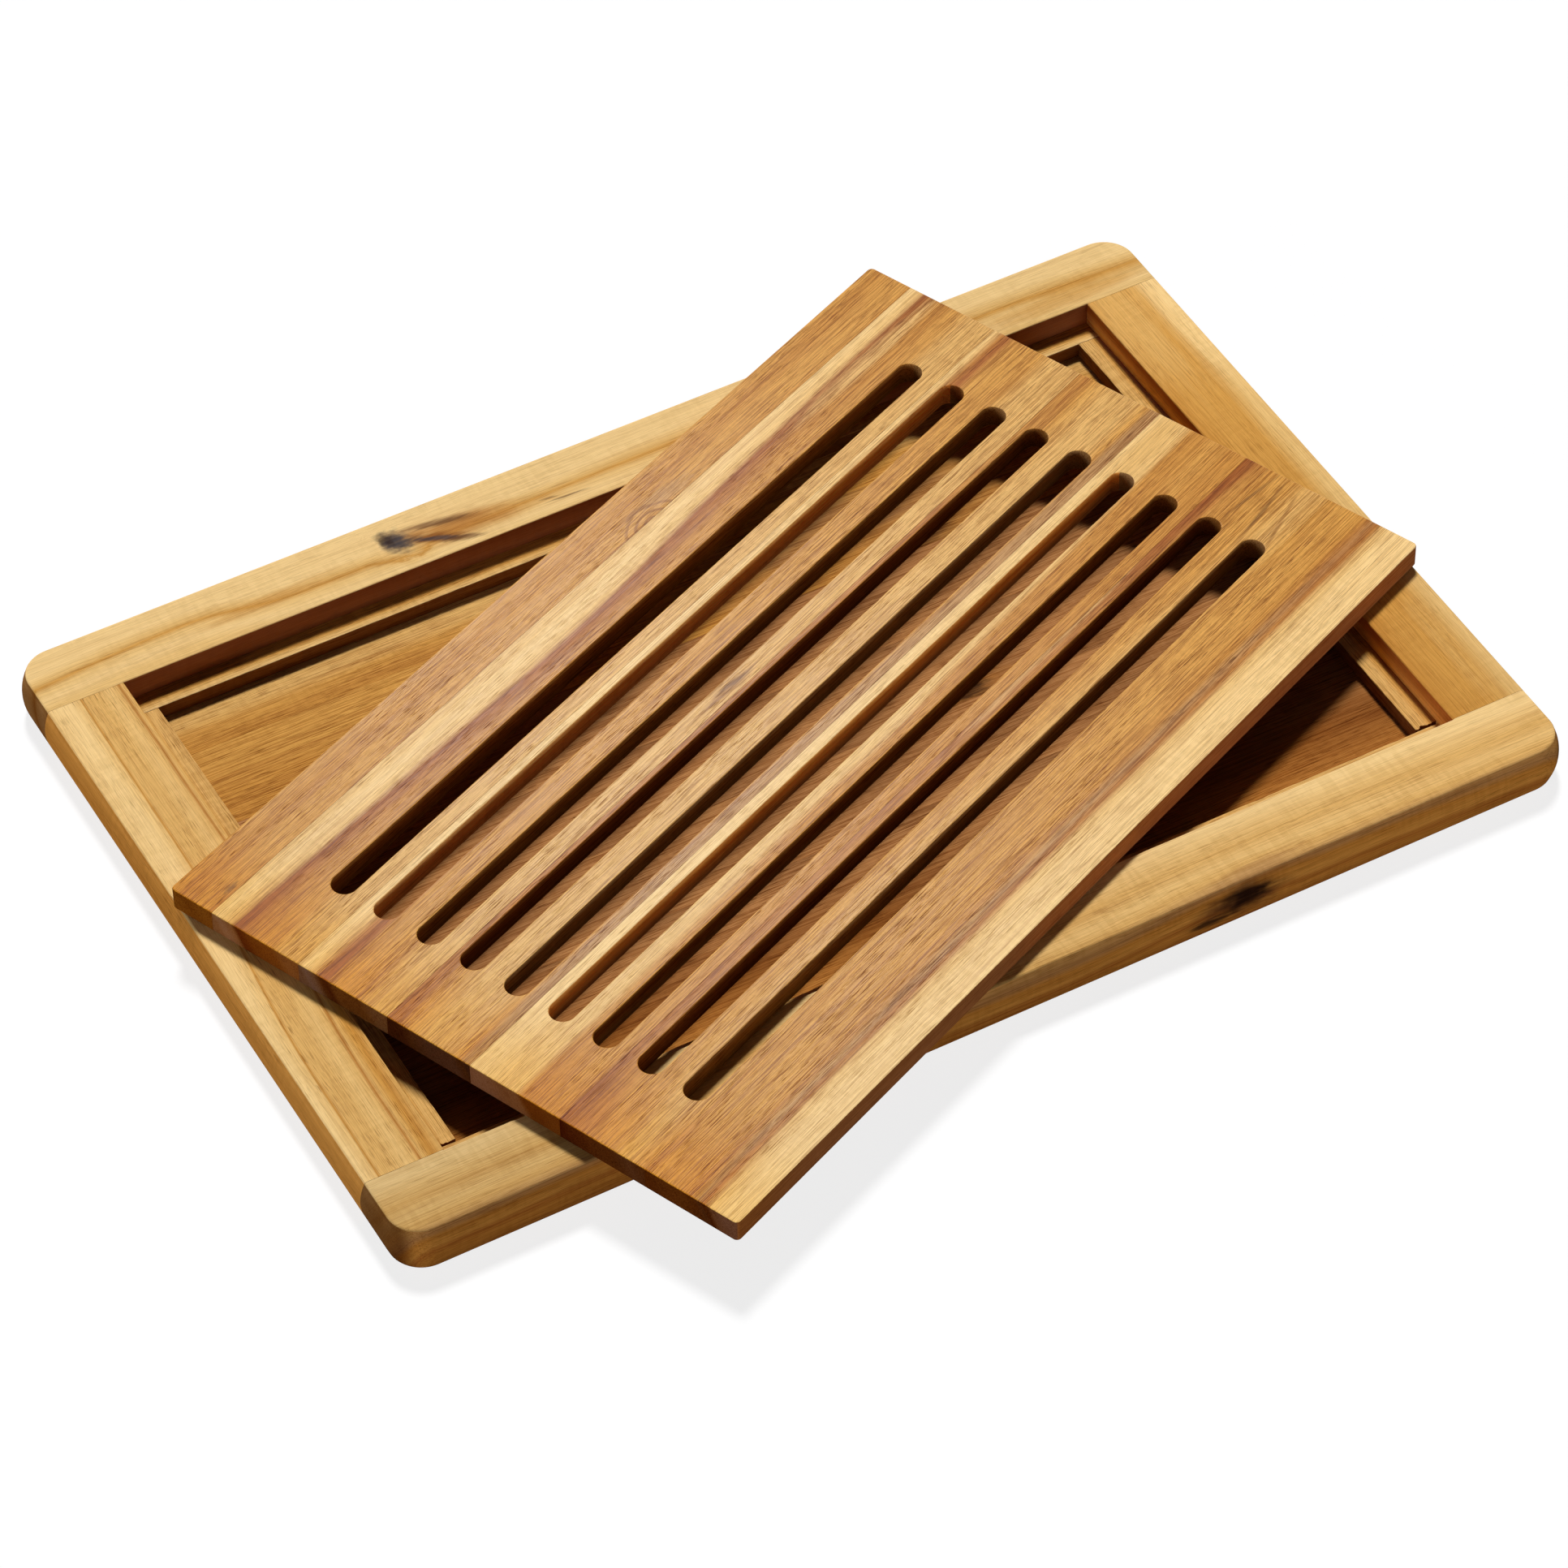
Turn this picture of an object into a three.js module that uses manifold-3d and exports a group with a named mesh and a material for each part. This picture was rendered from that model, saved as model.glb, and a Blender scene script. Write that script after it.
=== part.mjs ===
// Bread board: a dowelled crumb tray, and a slotted grid that lies askew across its rim.
// Millimetres, +Z up. The origin is the middle of the tray's underside, +X runs along the tray.
import * as THREE from "three";
import { mergeVertices } from "three/addons/utils/BufferGeometryUtils.js";
import Module from "manifold-3d";

const wasm = await Module();
wasm.setup();

// Grid
const slotLength = 340;
const slotWidth = 10;
const slotPitch = 19.8;
const slotEase = 0.4;
const slotsPerStave = [0, 1, 2, 2, 2, 2, 0]; // from the back
const endMargin = 34; // from the end of a slot to the grid's end
const sideMargin = 42.8; // from the outermost slot to the grid's long edge
const gridCorner = 2;
const gridEase = 0.5;

// Each glue line of the grid runs in a bar or a margin. These are the lines' places across it,
// from its back edge, one for each stave but the last.
const gridJointShares = [0.456, 0.684, 0.776, 0.53, 0.55, 0.07];

// How the grid fits the tray once it is seated there
const seatEndClearance = 1; // to the frame, at each end
const seatSideClearance = 1.5;
const seatDepth = 0.3; // the grid's top lies this far below the rim

// Where the loose grid lies
const gridTurn = THREE.MathUtils.degToRad(23.1);
const gridShift = 17.7; // its middle is this far in front of the tray's
const restGap = 0.3; // under the grid

// Outside of the tray
const trayThickness = 20;
const cornerRadius = 14.5; // in plan, at the widest line of the side
const sideBulge = 2.4; // the convex side stands out this far beyond its arrises
const trayEase = 0.5; // sanded-off arrises of the frame

// Frame, ledges and floor
const longRailWidth = 31.5;
const shortRailWidth = 32.5;
const ledgeDrop = 9.8; // from the rim down to the ledges
const ledgeWidth = 9;
const ledgeEase = 0.4;
const floorThickness = 4;
const rebateWidth = 8; // the floor panel reaches this far under each rail
const floorStaveCount = 7;
const glueLine = 0.1;

// Dowels of the frame's butt joints
const dowelRadius = 4;
const dowelReach = 20; // into each of the two rails
const dowelChamfer = 1;
const dowelClearance = 0.15; // radial, filled with glue
const dowelEndSpace = 0.8; // beyond each end of a dowel
const dowelPlaceShares = [0.28, 0.68]; // across the short rail, from the opening outwards

// Roundness of the curves
const cornerSteps = 8;
const sideSteps = 8;
const easedCornerSteps = 4;
const slotEndSteps = 10;
const dowelSides = 20;

const overrun = 1; // cutters go this far past what they cut

// Sizes that follow, from the grid outwards: the tray comes out at 475 by 320
const slotCount = slotsPerStave.reduce((sum, count) => sum + count);
const gridLength = slotLength + 2 * endMargin;
const gridWidth = (slotCount - 1) * slotPitch + slotWidth + 2 * sideMargin;
const gridThickness = ledgeDrop - seatDepth;
const openingLength = gridLength + 2 * seatEndClearance;
const openingWidth = gridWidth + 2 * seatSideClearance;
const trayLength = openingLength + 2 * shortRailWidth;
const trayWidth = openingWidth + 2 * longRailWidth;
const ledgeTop = trayThickness - ledgeDrop;
const dowelHeight = (floorThickness + trayThickness) / 2;

// Wood tones, as the pieces show them
const railBackTone = 0xdcb56c;
const railFrontTone = 0xd6b46f;
const railLeftTone = 0xdba85e;
const railRightTone = 0xdda35a;
const ledgeTone = 0xd3a862;
const floorTones = [0xb8843f, 0xa8713c, 0x9f693a, 0xa6703b, 0xa06a38, 0x9a6536, 0x9d6736];
const gridTones = [0xc98f52, 0xd6a061, 0xcfa066, 0xcd9c66, 0xd8ae6c, 0xcd9a5e, 0xd2a560];
const dowelTone = 0xe0c79a;

// A closed geometry, as a solid that can be joined and cut.
function toSolid(geometry) {
  const bare = geometry.clone();
  bare.deleteAttribute("normal");
  bare.deleteAttribute("uv");
  const merged = mergeVertices(bare);
  const vertProperties = new Float32Array(merged.getAttribute("position").array);
  const triVerts = new Uint32Array(merged.getIndex().array);
  return new wasm.Manifold(new wasm.Mesh({ numProp: 3, vertProperties, triVerts }));
}

// A solid, as a named wooden mesh with crisp edges.
function toMesh(name, solid, tone) {
  const { vertProperties, triVerts } = solid.getMesh();
  const indexed = new THREE.BufferGeometry();
  indexed.setAttribute("position", new THREE.BufferAttribute(vertProperties.slice(), 3));
  indexed.setIndex(new THREE.BufferAttribute(triVerts.slice(), 1));
  const geometry = indexed.toNonIndexed();
  geometry.computeVertexNormals();
  const mesh = new THREE.Mesh(geometry, wood(tone));
  mesh.name = name;
  return mesh;
}

// Lightly oiled hardwood.
function wood(tone) {
  return new THREE.MeshStandardMaterial({ color: tone, roughness: 0.55, metalness: 0 });
}

// A block between its lowest and its highest corner.
function block(low, high) {
  const size = high.clone().sub(low);
  const middle = low.clone().add(high).multiplyScalar(0.5);
  const geometry = new THREE.BoxGeometry(size.x, size.y, size.z);
  return toSolid(geometry.translate(middle.x, middle.y, middle.z));
}

// Plane outlines one above the other, each with as many points, joined into a closed body.
function loft(rings) {
  const count = rings[0].outline.length;
  const positions = rings.flatMap(({ outline, z }) => outline.flatMap((p) => [p.x, p.y, z]));
  const index = [];
  for (let ring = 0; ring + 1 < rings.length; ring++) {
    for (let i = 0; i < count; i++) {
      const low = ring * count + i;
      const lowNext = ring * count + ((i + 1) % count);
      index.push(low, lowNext, lowNext + count, low, lowNext + count, low + count);
    }
  }
  const top = (rings.length - 1) * count;
  for (let i = 1; i + 1 < count; i++) {
    index.push(0, i + 1, i, top, top + i, top + i + 1);
  }
  const geometry = new THREE.BufferGeometry();
  geometry.setAttribute("position", new THREE.Float32BufferAttribute(positions, 3));
  geometry.setIndex(index);
  return toSolid(geometry);
}

// The corners of a rectangle, anticlockwise.
const quarters = [[1, 1], [-1, 1], [-1, -1], [1, -1]];

// The outline of a rectangle with round corners, anticlockwise.
function roundedRectangle(halfLength, halfWidth, radius, steps) {
  const outline = [];
  quarters.forEach(([sideX, sideY], quarter) => {
    for (let i = 0; i <= steps; i++) {
      const angle = ((quarter + i / steps) * Math.PI) / 2;
      const x = sideX * (halfLength - radius) + radius * Math.cos(angle);
      const y = sideY * (halfWidth - radius) + radius * Math.sin(angle);
      outline.push(new THREE.Vector2(x, y));
    }
  });
  return outline;
}

// The outline of a plain rectangle, anticlockwise.
function rectangle(halfLength, halfWidth) {
  return quarters.map(([sideX, sideY]) => new THREE.Vector2(sideX * halfLength, sideY * halfWidth));
}

// The outline of a slot with round ends, anticlockwise.
function slotOutline(length, width) {
  const radius = width / 2;
  const reach = length / 2 - radius;
  const outline = [];
  for (const side of [1, -1]) {
    for (let i = 0; i <= slotEndSteps; i++) {
      const angle = (i / slotEndSteps - 0.5) * Math.PI;
      const x = side * (reach + radius * Math.cos(angle));
      const y = side * radius * Math.sin(angle);
      outline.push(new THREE.Vector2(x, y));
    }
  }
  return outline;
}

// How far the convex side of the tray has fallen back at a height.
function sideInset(z) {
  const half = trayThickness / 2;
  const arcRadius = (half ** 2 + sideBulge ** 2) / (2 * sideBulge);
  return arcRadius - Math.sqrt(arcRadius ** 2 - (z - half) ** 2);
}

// The tray as one slab: convex sides, round corners and eased arrises.
function trayBlank() {
  const outline = (inset) =>
    roundedRectangle(
      trayLength / 2 - inset,
      trayWidth / 2 - inset,
      cornerRadius - inset,
      cornerSteps,
    );
  const arris = outline(sideInset(trayEase) + trayEase);
  const rings = [{ outline: arris, z: 0 }];
  for (let i = 0; i <= sideSteps; i++) {
    const z = trayEase + ((trayThickness - 2 * trayEase) * i) / sideSteps;
    rings.push({ outline: outline(sideInset(z)), z });
  }
  rings.push({ outline: arris, z: trayThickness });
  return loft(rings);
}

// What the opening takes out of the frame, with its top arris eased.
function openingCutter() {
  const outline = (outset) => rectangle(openingLength / 2 + outset, openingWidth / 2 + outset);
  return loft([
    { outline: outline(0), z: -overrun },
    { outline: outline(0), z: trayThickness - trayEase },
    { outline: outline(trayEase), z: trayThickness },
    { outline: outline(trayEase), z: trayThickness + overrun },
  ]);
}

// The rebate that the floor panel is let into, from below.
function rebateCutter() {
  const reachX = openingLength / 2 + rebateWidth;
  const reachY = openingWidth / 2 + rebateWidth;
  const low = new THREE.Vector3(-reachX, -reachY, -overrun);
  return block(low, new THREE.Vector3(reachX, reachY, floorThickness + glueLine));
}

// The two dowels in each of the four butt joints.
function dowelPlaces() {
  const places = [];
  for (const [end, y] of [["back", openingWidth / 2], ["front", -openingWidth / 2]]) {
    for (const [side, sign] of [["left", -1], ["right", 1]]) {
      dowelPlaceShares.forEach((share, i) => {
        const x = sign * (openingLength / 2 + share * shortRailWidth);
        const name = `dowel_${end}_${side}_${i === 0 ? "inner" : "outer"}`;
        places.push({ name, at: new THREE.Vector3(x, y, dowelHeight) });
      });
    }
  }
  return places;
}

// A dowel along Y with chamfered ends, about its own middle.
function dowelSolid() {
  const profile = [
    new THREE.Vector2(0, -dowelReach),
    new THREE.Vector2(dowelRadius - dowelChamfer, -dowelReach),
    new THREE.Vector2(dowelRadius, dowelChamfer - dowelReach),
    new THREE.Vector2(dowelRadius, dowelReach - dowelChamfer),
    new THREE.Vector2(dowelRadius - dowelChamfer, dowelReach),
    new THREE.Vector2(0, dowelReach),
  ];
  return toSolid(new THREE.LatheGeometry(profile, dowelSides));
}

// The holes that all the dowels sit in.
function dowelHoles() {
  const radius = dowelRadius + dowelClearance;
  const length = 2 * (dowelReach + dowelEndSpace);
  return dowelPlaces().map(({ at }) => {
    const hole = new THREE.CylinderGeometry(radius, radius, length, dowelSides);
    return toSolid(hole.translate(at.x, at.y, at.z));
  });
}

// The four rails. The long ones carry the corners, and the short ones butt between them.
function frameRails() {
  let frame = trayBlank().subtract(openingCutter()).subtract(rebateCutter());
  for (const hole of dowelHoles()) {
    frame = frame.subtract(hole);
  }
  const farX = trayLength / 2 + overrun;
  const farY = trayWidth / 2 + overrun;
  const nearX = openingLength / 4; // any plane inside the opening parts the short rails
  const joint = openingWidth / 2;
  const top = trayThickness + overrun;
  const cut = (x0, x1, y0, y1) =>
    frame.intersect(block(new THREE.Vector3(x0, y0, -overrun), new THREE.Vector3(x1, y1, top)));
  const jointEnd = joint - glueLine;
  return [
    toMesh("rail_back", cut(-farX, farX, joint, farY), railBackTone),
    toMesh("rail_front", cut(-farX, farX, -farY, -joint), railFrontTone),
    toMesh("rail_left", cut(-farX, -nearX, -jointEnd, jointEnd), railLeftTone),
    toMesh("rail_right", cut(nearX, farX, -jointEnd, jointEnd), railRightTone),
  ];
}

// A batten along X that fills the corner between a rail, behind it, and the floor.
function ledge(name, length, turn, distance) {
  const low = floorThickness + glueLine;
  const back = -glueLine;
  const section = new THREE.Shape([
    new THREE.Vector2(back, low),
    new THREE.Vector2(back, ledgeTop),
    new THREE.Vector2(ledgeEase - ledgeWidth, ledgeTop),
    new THREE.Vector2(-ledgeWidth, ledgeTop - ledgeEase),
    new THREE.Vector2(-ledgeWidth, low),
  ]);
  const geometry = new THREE.ExtrudeGeometry(section, { depth: length, bevelEnabled: false });
  geometry.translate(0, 0, -length / 2);
  geometry.rotateX(Math.PI / 2);
  geometry.rotateZ(Math.PI / 2);
  const mesh = toMesh(name, toSolid(geometry), ledgeTone);
  const holder = new THREE.Group();
  holder.rotation.z = turn;
  mesh.position.y = distance;
  holder.add(mesh);
  return holder;
}

// The four battens: long ones from rail to rail, short ones between them.
function ledges() {
  const longLength = openingLength - 2 * glueLine;
  const shortLength = openingWidth - 2 * (ledgeWidth + glueLine);
  return [
    ledge("ledge_back", longLength, 0, openingWidth / 2),
    ledge("ledge_left", shortLength, Math.PI / 2, openingLength / 2),
    ledge("ledge_front", longLength, Math.PI, openingWidth / 2),
    ledge("ledge_right", shortLength, -Math.PI / 2, openingLength / 2),
  ];
}

// The staves of the floor panel, from the back.
function floorStaves() {
  const length = openingLength + 2 * (rebateWidth - glueLine);
  const width = openingWidth + 2 * (rebateWidth - glueLine);
  const step = (width + glueLine) / floorStaveCount;
  const staves = [];
  for (let i = 0; i < floorStaveCount; i++) {
    const back = width / 2 - i * step;
    const low = new THREE.Vector3(-length / 2, back - step + glueLine, 0);
    const stave = block(low, new THREE.Vector3(length / 2, back, floorThickness));
    staves.push(toMesh(`floor_stave_${i + 1}`, stave, floorTones[i % floorTones.length]));
  }
  return staves;
}

// The dowels themselves.
function dowels() {
  const solid = dowelSolid();
  return dowelPlaces().map(({ name, at }) => {
    const mesh = toMesh(name, solid, dowelTone);
    mesh.position.copy(at);
    return mesh;
  });
}

// The grid as one slab: round corners and eased arrises.
function gridBlank() {
  const outline = (inset) =>
    roundedRectangle(
      gridLength / 2 - inset,
      gridWidth / 2 - inset,
      gridCorner - inset,
      easedCornerSteps,
    );
  return loft([
    { outline: outline(gridEase), z: 0 },
    { outline: outline(0), z: gridEase },
    { outline: outline(0), z: gridThickness - gridEase },
    { outline: outline(gridEase), z: gridThickness },
  ]);
}

// The middle of a slot, counted from the back.
function slotPlace(index) {
  return ((slotCount - 1) / 2 - index) * slotPitch;
}

// What one slot takes out of the grid, eased at both mouths.
function slotCutter(index) {
  const outline = (outset) =>
    slotOutline(slotLength + 2 * outset, slotWidth + 2 * outset).map((point) =>
      point.setY(point.y + slotPlace(index)),
    );
  return loft([
    { outline: outline(slotEase), z: -overrun },
    { outline: outline(slotEase), z: 0 },
    { outline: outline(0), z: slotEase },
    { outline: outline(0), z: gridThickness - slotEase },
    { outline: outline(slotEase), z: gridThickness },
    { outline: outline(slotEase), z: gridThickness + overrun },
  ]);
}

// Where the glue lines of the grid run, from the back, each across the bar or margin that lies
// between two slots.
function gridJointPlaces() {
  let slotsBehind = 0;
  return gridJointShares.map((share, i) => {
    slotsBehind += slotsPerStave[i];
    const first = slotsBehind === 0;
    const last = slotsBehind === slotCount;
    const backEdge = first ? gridWidth / 2 : slotPlace(slotsBehind - 1) - slotWidth / 2;
    const frontEdge = last ? -gridWidth / 2 : slotPlace(slotsBehind) + slotWidth / 2;
    return backEdge + share * (frontEdge - backEdge);
  });
}

// The staves of the grid, from the back, each with the slots that fall to it.
function gridStaves() {
  let slab = gridBlank();
  for (let i = 0; i < slotCount; i++) {
    slab = slab.subtract(slotCutter(i));
  }
  const joints = gridJointPlaces();
  const backs = [gridWidth / 2 + overrun, ...joints];
  const fronts = [...joints.map((y) => y + glueLine), -gridWidth / 2 - overrun];
  const farX = gridLength / 2 + overrun;
  const top = gridThickness + overrun;
  return backs.map((back, i) => {
    const low = new THREE.Vector3(-farX, fronts[i], -overrun);
    const stave = slab.intersect(block(low, new THREE.Vector3(farX, back, top)));
    return toMesh(`grid_stave_${i + 1}`, stave, gridTones[i % gridTones.length]);
  });
}

// The tray, all glued together.
function tray() {
  const group = new THREE.Group();
  group.add(...frameRails(), ...ledges(), ...floorStaves(), ...dowels());
  return group;
}

// The grid, loose on the tray's rim.
function grid() {
  const group = new THREE.Group();
  group.add(...gridStaves());
  group.position.set(0, -gridShift, trayThickness + restGap);
  group.rotation.z = gridTurn;
  return group;
}

const board = new THREE.Group();
board.add(tray(), grid());
export default board;
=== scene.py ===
"""A bread board with a crumb tray and a loose slotted grid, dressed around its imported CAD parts.

Metres, in the CAD's frame: +X along the tray, +Z up, the origin under the tray's middle.
"""
import math
from collections import namedtuple

import bmesh
import bpy
from mathutils import Matrix, Vector, noise


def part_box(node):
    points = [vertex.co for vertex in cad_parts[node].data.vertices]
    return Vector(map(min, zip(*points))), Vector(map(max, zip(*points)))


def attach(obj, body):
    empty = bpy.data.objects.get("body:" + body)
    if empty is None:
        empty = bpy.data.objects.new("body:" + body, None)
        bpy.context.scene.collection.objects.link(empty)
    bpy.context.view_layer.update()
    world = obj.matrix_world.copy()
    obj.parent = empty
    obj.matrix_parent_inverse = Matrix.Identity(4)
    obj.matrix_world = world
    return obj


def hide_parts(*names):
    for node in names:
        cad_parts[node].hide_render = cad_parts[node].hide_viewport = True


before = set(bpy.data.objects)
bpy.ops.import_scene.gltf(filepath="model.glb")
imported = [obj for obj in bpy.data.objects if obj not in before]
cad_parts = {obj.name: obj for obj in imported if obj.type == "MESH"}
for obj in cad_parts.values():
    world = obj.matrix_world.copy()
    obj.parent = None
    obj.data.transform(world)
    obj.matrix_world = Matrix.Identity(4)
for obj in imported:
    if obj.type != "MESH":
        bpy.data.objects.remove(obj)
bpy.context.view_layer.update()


# Studio camera: a long lens, high over the tray's front left corner, so that the board's
# long sides run almost parallel in the picture.
LENS_LENGTH = 149.9416
SENSOR_WIDTH = 36
FARTHEST_SEEN = 30
CAMERA_PLACE = (-0.78708, -1.45623, 1.72194)
CAMERA_TURNS = (43.4694, 0.7372, -29.1336)

lens = bpy.data.cameras.new("long_lens")
lens.lens = LENS_LENGTH
lens.sensor_width = SENSOR_WIDTH
lens.clip_end = FARTHEST_SEEN
camera = bpy.data.objects.new("camera", lens)
camera.location = CAMERA_PLACE
camera.rotation_euler = [math.radians(degrees) for degrees in CAMERA_TURNS]
bpy.context.collection.objects.link(camera)
bpy.context.scene.camera = camera
bpy.context.scene.view_settings.view_transform = "Standard"


# Studio light: a broad lamp high behind the board throws short soft shadows to the front,
# two weak wide ones light its left and front sides, and the room adds a little from
# everywhere. A card hung where the camera sees it mirrored puts a soft sheen on the grid.
SHEEN_SPOT = Vector((-0.064, -0.005, 0.030))
SHEEN_DISTANCE = 0.8
ACROSS_GRID = Vector((0.392, -0.92, 0))
CARD_LENGTH = 0.5
CARD_WIDTH = 0.26
CARD_POWER = 6.3
ROOM_LEVEL = 0.025
WHITE = (1, 1, 1, 1)


def fit_node(tree, kind, inputs=None, **settings):
    """Adds a node, with its settings made and its inputs set or linked."""
    node = tree.nodes.new(kind)
    for setting, value in settings.items():
        setattr(node, setting, value)
    for key, value in (inputs or {}).items():
        if isinstance(value, bpy.types.NodeSocket):
            tree.links.new(value, node.inputs[key])
        else:
            node.inputs[key].default_value = value
    return node


def hang_lamp(name, toward, strength, spread):
    """Hangs a distant lamp that shines from the direction toward and leaves no highlight."""
    lamp = bpy.data.lights.new(name, "SUN")
    lamp.energy = strength
    lamp.angle = math.radians(spread)
    holder = bpy.data.objects.new(name, lamp)
    holder.rotation_euler = Vector(toward).to_track_quat("Z", "Y").to_euler()
    holder.visible_glossy = False
    bpy.context.collection.objects.link(holder)


def straight_rays(tree):
    """One where the camera, a reflection or a view through glass looks, nought elsewhere."""
    path = fit_node(tree, "ShaderNodeLightPath").outputs
    either = path["Is Camera Ray"]
    for ray in ("Is Glossy Ray", "Is Transmission Ray"):
        inputs = {0: either, 1: path[ray]}
        either = fit_node(tree, "ShaderNodeMath", inputs, operation="MAXIMUM").outputs[0]
    return either


hang_lamp("main_lamp", toward=(0.24, 0.53, 1.0), strength=3.1, spread=10)
hang_lamp("left_lamp", toward=(-1.0, -0.12, 0.12), strength=1.0, spread=16)
hang_lamp("front_lamp", toward=(0.1, -1.0, 0.1), strength=0.7, spread=16)

card = bpy.data.lights.new("sheen_card", "AREA")
card.shape = "ELLIPSE"
card.size = CARD_LENGTH
card.size_y = CARD_WIDTH
card.energy = CARD_POWER
to_lens = (camera.location - SHEEN_SPOT).normalized()
mirrored = Vector((-to_lens.x, -to_lens.y, to_lens.z))
card_side = ACROSS_GRID.cross(mirrored).cross(-mirrored).normalized()
card_axes = Matrix((card_side, mirrored.cross(card_side), mirrored)).transposed()
card_holder = bpy.data.objects.new("sheen_card", card)
card_holder.location = SHEEN_SPOT + SHEEN_DISTANCE * mirrored
card_holder.rotation_euler = card_axes.to_euler()
card_holder.visible_diffuse = False
card_holder.visible_camera = False
bpy.context.collection.objects.link(card_holder)

room = bpy.data.worlds.new("room")
room.use_nodes = True
bpy.context.scene.world = room
room_tree = room.node_tree
room_tree.nodes.clear()
room_light, room_white = [
    fit_node(room_tree, "ShaderNodeBackground", {"Color": WHITE, "Strength": level}).outputs[0]
    for level in (ROOM_LEVEL, 1.0)
]
room_mix = fit_node(
    room_tree, "ShaderNodeMixShader", {0: straight_rays(room_tree), 1: room_light, 2: room_white}
)
fit_node(room_tree, "ShaderNodeOutputWorld", {"Surface": room_mix.outputs[0]})


# Studio floor: a plain pale sheet that the board stands on. It looks white and keeps the
# board's shadow, and throws only a little light back at it.
MM = 0.001
SHEET_REACH = 2.5
SHEET_DROP = 0.05 * MM
SHEET_SPECKS = 9.0
SHEET_SHADES = (0.2, 0.23)
SHEET_GLOW = 0.81
SHEET_BACK = (0.22, 0.22, 0.22, 1)

floor_mesh = bpy.data.meshes.new("studio_floor")
shape = bmesh.new()
bmesh.ops.create_grid(shape, x_segments=2, y_segments=2, size=SHEET_REACH)
bmesh.ops.translate(shape, vec=(0, 0, -SHEET_DROP), verts=shape.verts)
shape.to_mesh(floor_mesh)
shape.free()
floor = bpy.data.objects.new("studio_floor", floor_mesh)
bpy.context.collection.objects.link(floor)

sheet = bpy.data.materials.new("pale_sheet")
sheet.use_nodes = True
sheet_tree = sheet.node_tree
sheet_tree.nodes.clear()
sheet_specks = fit_node(sheet_tree, "ShaderNodeTexNoise", {"Scale": SHEET_SPECKS, "Detail": 2.0})
sheet_tone = fit_node(
    sheet_tree,
    "ShaderNodeMapRange",
    {0: sheet_specks.outputs[0], 3: SHEET_SHADES[0], 4: SHEET_SHADES[1]},
)
sheet_back = fit_node(sheet_tree, "ShaderNodeBsdfDiffuse", {"Color": SHEET_BACK})
sheet_lit = fit_node(sheet_tree, "ShaderNodeBsdfDiffuse", {"Color": sheet_tone.outputs[0]})
sheet_glow = fit_node(
    sheet_tree, "ShaderNodeEmission", {"Color": WHITE, "Strength": SHEET_GLOW}
)
sheet_seen = fit_node(
    sheet_tree, "ShaderNodeAddShader", {0: sheet_lit.outputs[0], 1: sheet_glow.outputs[0]}
)
sheet_mix = fit_node(
    sheet_tree,
    "ShaderNodeMixShader",
    {0: straight_rays(sheet_tree), 1: sheet_back.outputs[0], 2: sheet_seen.outputs[0]},
)
fit_node(sheet_tree, "ShaderNodeOutputMaterial", {"Surface": sheet_mix.outputs[0]})
floor_mesh.materials.append(sheet)


# The frame of the crumb tray: four hardwood rails, butt-jointed and dowelled. The long rails
# carry the rounded corners, the outer sides are convex, and every arris is sanded off.
TRAY_LENGTH = 475 * MM
TRAY_WIDTH = 320 * MM
TRAY_HEIGHT = 20 * MM
OPENING_LENGTH = 410 * MM
OPENING_WIDTH = 257 * MM
CORNER_RADIUS = 14.5 * MM
SIDE_BULGE = 2.4 * MM
RAIL_ARRIS = 0.5 * MM
OUTER_ARRIS = 1.1 * MM
GLUE_LINE = 0.1 * MM
REBATE_WIDTH = 8 * MM
REBATE_HEIGHT = 4.1 * MM
CORNER_STEPS = 16
SIDE_STEPS = 14
OUTER_ARRIS_STEPS = 4
RAIL_ARRIS_STEPS = 3
SAME_POINT = 1e-7
HAIR = 1e-6
PLANE = 0.9999
SHARP_EDGE = 38

half_opening_x = OPENING_LENGTH / 2
half_opening_y = OPENING_WIDTH / 2

# What the oiled wood of this board shows, from its palest sapwood to its dark heart and knots,
# and how clearly its palest tones show the grain, next to the darker ones
WOOD_TONES = {
    "cream": (248, 211, 146),
    "straw": (238, 196, 126),
    "wheat": (227, 180, 107),
    "honey": (215, 158, 77),
    "amber": (205, 145, 66),
    "ash": (192, 146, 92),
    "russet": (187, 124, 57),
    "plum": (166, 98, 43),
    "toffee": (187, 132, 80),
    "chestnut": (162, 113, 69),
    "umber": (146, 90, 40),
    "bark": (104, 66, 40),
    "soot": (48, 29, 21),
    "slate": (70, 63, 66),
}
GRAIN_SHOWS = {"cream": 0.5, "straw": 0.65, "wheat": 0.85}

# The wood's figure: how long and how wide each kind of mark in it is, in millimetres, which
# layer of noise it comes from, and how much detail that noise has
Figure = namedtuple("Figure", "length width layer detail")
BROAD_WAVES = Figure(190, 26, layer=1, detail=1.0)
FINE_WAVES = Figure(55, 7, layer=2, detail=1.5)
BROAD_STREAKS = Figure(130, 2.6, layer=3, detail=2.5)
FIBRES = Figure(14, 0.3, layer=4, detail=2.0)
CURL = Figure(2.3, 11, layer=5, detail=1.5)
PORES = Figure(7, 0.22, layer=6, detail=0.5)
PORE_DRIFTS = Figure(45, 8, layer=7, detail=1.0)
GRAIN_LINES = Figure(48, 0.6, layer=8, detail=1.5)
SPECKS = Figure(1.1, 0.5, layer=9, detail=1.0)
CURLED_PARTS = Figure(48, 14, layer=12, detail=1.0)
FIRST_MARK_LAYER = 11
SEED_STRIDES = (7.31, 3.17, 5.71)
LAYER_STRIDES = (1, 2.3, -1)

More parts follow.
